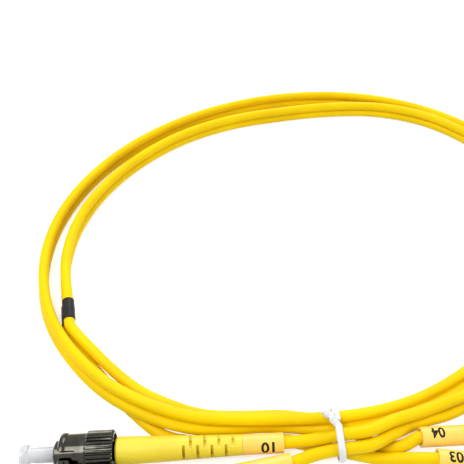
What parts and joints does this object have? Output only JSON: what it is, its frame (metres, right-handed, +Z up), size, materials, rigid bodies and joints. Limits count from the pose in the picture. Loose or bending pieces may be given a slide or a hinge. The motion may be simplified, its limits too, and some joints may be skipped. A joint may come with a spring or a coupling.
{
  "type": "fiber optic patch cord",
  "caption": "Coiled duplex fibre optic patch cord with ST bayonet plugs on both ends, dust caps, strain boots, label sleeves and a twisted wire tie.",
  "frame": {"origin": "on the floor, under the middle of the box round the four plugs", "axes": "+X along the plugs, from the A plugs to the B plugs; +Y towards the oval coil; +Z up"},
  "size_m": [0.1681, 0.1642, 0.0121],
  "materials": {
    "cord_jacket": "satin",
    "shrink_sleeve": "satin",
    "tie_coating": "satin",
    "cap_plastic": "translucent",
    "zirconia": "polished",
    "nickel_brass": "polished nickel plate",
    "spring_steel": "bright",
    "crimp_brass": "plated",
    "buffer_plastic": "gloss",
    "boot_plastic": "moulded",
    "label_plastic": "satin"
  },
  "bodies": {
    "cord": {"zip_cord": "cord_jacket", "split_band_a": "shrink_sleeve", "split_band_b": "shrink_sleeve", "wire_tie": "tie_coating", "ferrule_a1": "zirconia", "ferrule_a2": "zirconia", "ferrule_b1": "zirconia", "ferrule_b2": "zirconia", "barrel_a1": "nickel_brass", "barrel_a2": "nickel_brass", "barrel_b1": "nickel_brass", "barrel_b2": "nickel_brass", "nut_spring_a1": "spring_steel", "nut_spring_a2": "spring_steel", "nut_spring_b1": "spring_steel", "nut_spring_b2": "spring_steel", "crimp_sleeve_a1": "crimp_brass", "crimp_sleeve_a2": "crimp_brass", "crimp_sleeve_b1": "crimp_brass", "crimp_sleeve_b2": "crimp_brass", "buffered_fiber_a1": "buffer_plastic", "buffered_fiber_a2": "buffer_plastic", "buffered_fiber_b1": "buffer_plastic", "buffered_fiber_b2": "buffer_plastic", "strain_boot_a1": "boot_plastic", "strain_boot_a2": "boot_plastic", "strain_boot_b1": "boot_plastic", "strain_boot_b2": "boot_plastic", "label_sleeve_a1": "label_plastic", "label_sleeve_a2": "label_plastic", "label_sleeve_b1": "label_plastic", "label_sleeve_b2": "label_plastic", "leg_cord_a1": "cord_jacket", "leg_cord_a2": "cord_jacket", "leg_cord_b1": "cord_jacket", "leg_cord_b2": "cord_jacket"},
    "cap_a1": {"dust_cap_a1": "cap_plastic"},
    "washer_a1": {"retaining_washer_a1": "spring_steel"},
    "nut_a1": {"coupling_nut_a1": "nickel_brass"},
    "cap_a2": {"dust_cap_a2": "cap_plastic"},
    "washer_a2": {"retaining_washer_a2": "spring_steel"},
    "nut_a2": {"coupling_nut_a2": "nickel_brass"},
    "cap_b1": {"dust_cap_b1": "cap_plastic"},
    "washer_b1": {"retaining_washer_b1": "spring_steel"},
    "nut_b1": {"coupling_nut_b1": "nickel_brass"},
    "cap_b2": {"dust_cap_b2": "cap_plastic"},
    "washer_b2": {"retaining_washer_b2": "spring_steel"},
    "nut_b2": {"coupling_nut_b2": "nickel_brass"}
  },
  "joints": [
    {"name": "cap_pull_a1", "type": "slide", "parent": "cord", "child": "cap_a1", "axis": [-1, 0, 0], "range_m": [0, 0.012]},
    {"name": "nut_push_a1", "type": "slide", "parent": "cord", "child": "washer_a1", "axis": [-1, 0, 0], "range_m": [0, 0.0018], "stiffness_N_per_m": 1500, "springref_m": -0.001, "deforming": ["nut_spring_a1"]},
    {"name": "nut_turn_a1", "type": "hinge", "parent": "washer_a1", "child": "nut_a1", "pos_m": [-0.06415, 0.007, 0.005], "axis": [-1, 0, 0], "continuous": true},
    {"name": "cap_pull_a2", "type": "slide", "parent": "cord", "child": "cap_a2", "axis": [-0.9877, -0.1564, 0], "range_m": [0, 0.012]},
    {"name": "nut_push_a2", "type": "slide", "parent": "cord", "child": "washer_a2", "axis": [-0.9877, -0.1564, 0], "range_m": [0, 0.0018], "stiffness_N_per_m": 1500, "springref_m": -0.001, "deforming": ["nut_spring_a2"]},
    {"name": "nut_turn_a2", "type": "hinge", "parent": "washer_a2", "child": "nut_a2", "pos_m": [-0.0622, -0.00533, 0.005], "axis": [-0.9877, -0.1564, 0], "continuous": true},
    {"name": "cap_pull_b1", "type": "slide", "parent": "cord", "child": "cap_b1", "axis": [0.9877, -0.1564, 0], "range_m": [0, 0.012]},
    {"name": "nut_push_b1", "type": "slide", "parent": "cord", "child": "washer_b1", "axis": [0.9877, -0.1564, 0], "range_m": [0, 0.0018], "stiffness_N_per_m": 1500, "springref_m": -0.001, "deforming": ["nut_spring_b1"]},
    {"name": "nut_turn_b1", "type": "hinge", "parent": "washer_b1", "child": "nut_b1", "pos_m": [0.0642, -0.00613, 0.005], "axis": [0.9877, -0.1564, 0], "continuous": true},
    {"name": "cap_pull_b2", "type": "slide", "parent": "cord", "child": "cap_b2", "axis": [1, 0, 0], "range_m": [0, 0.012]},
    {"name": "nut_push_b2", "type": "slide", "parent": "cord", "child": "washer_b2", "axis": [1, 0, 0], "range_m": [0, 0.0018], "stiffness_N_per_m": 1500, "springref_m": -0.001, "deforming": ["nut_spring_b2"]},
    {"name": "nut_turn_b2", "type": "hinge", "parent": "washer_b2", "child": "nut_b2", "pos_m": [0.06215, 0.0066, 0.005], "axis": [1, 0, 0], "continuous": true}
  ]
}
